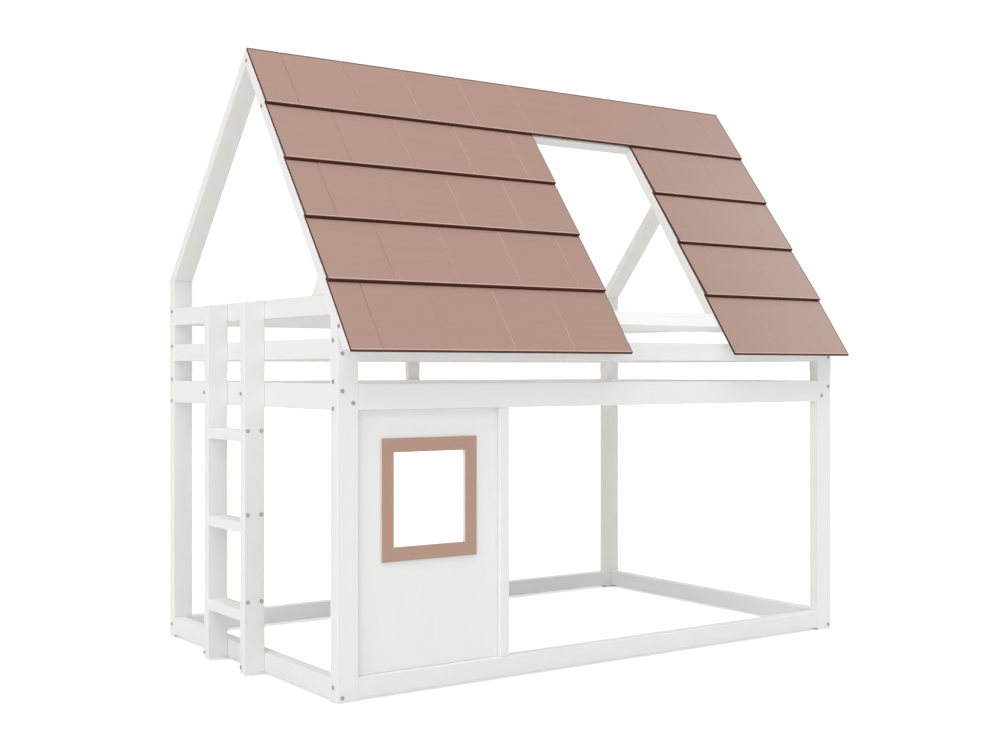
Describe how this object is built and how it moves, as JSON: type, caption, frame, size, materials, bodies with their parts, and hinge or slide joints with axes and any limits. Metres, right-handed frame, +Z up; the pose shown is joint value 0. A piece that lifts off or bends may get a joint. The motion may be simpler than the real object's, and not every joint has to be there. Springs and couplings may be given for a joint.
{
  "type": "house bunk bed",
  "caption": "High single bed in a timber house frame with a lapped board roof slope round a skylight, a framed window and an end ladder.",
  "frame": {"origin": "middle of the bounding box at the floor", "axes": "+X along the bed's length to the right, +Y from the boarded front to the back, +Z up"},
  "size_m": [2.1604, 1.3998, 2.0211],
  "materials": {
    "white_paint": "smooth satin white paint on pine",
    "rose_boards": "matt dusty rose paint, dark brown cut edges",
    "bare_slats": "planed bare pine",
    "steel_bolts": "zinc-plated socket-head bolts"
  },
  "bodies": {
    "root": {"ridge_purlin": "white_paint", "lap_purlin": "white_paint", "eave_purlin": "white_paint", "skylight_left_trimmer": "white_paint", "skylight_right_trimmer": "white_paint", "roof_board_1": "rose_boards", "roof_board_2_left": "rose_boards", "roof_board_2_right": "rose_boards", "roof_board_3_left": "rose_boards", "roof_board_3_right": "rose_boards", "roof_board_4_left": "rose_boards", "roof_board_4_right": "rose_boards", "roof_board_5_left": "rose_boards", "roof_board_5_right": "rose_boards", "front_left_post": "white_paint", "front_right_post": "white_paint", "back_left_post": "white_paint", "back_right_post": "white_paint", "left_front_rafter": "white_paint", "left_back_rafter": "white_paint", "right_front_rafter": "white_paint", "right_back_rafter": "white_paint", "left_floor_rail": "white_paint", "right_floor_rail": "white_paint", "left_bed_rail": "white_paint", "right_bed_rail": "white_paint", "left_guard_rail": "white_paint", "right_guard_rail": "white_paint", "left_top_guard_rail": "white_paint", "right_top_guard_rail": "white_paint", "left_gusset": "white_paint", "right_gusset": "white_paint", "front_floor_rail": "white_paint", "back_floor_rail": "white_paint", "front_bed_rail": "white_paint", "back_bed_rail": "white_paint", "front_guard_rail": "white_paint", "back_guard_rail": "white_paint", "back_top_guard_rail": "white_paint", "back_stile": "white_paint", "window_stile": "white_paint", "window_panel": "white_paint", "window_frame": "rose_boards", "ladder_front_stringer": "white_paint", "ladder_back_stringer": "white_paint", "ladder_rung_1": "white_paint", "ladder_rung_2": "white_paint", "ladder_rung_3": "white_paint", "front_ledger": "white_paint", "back_ledger": "white_paint", "bed_centre_beam": "white_paint", "slat_deck_left": "bare_slats", "slat_deck_right": "bare_slats"}
  },
  "joints": []
}
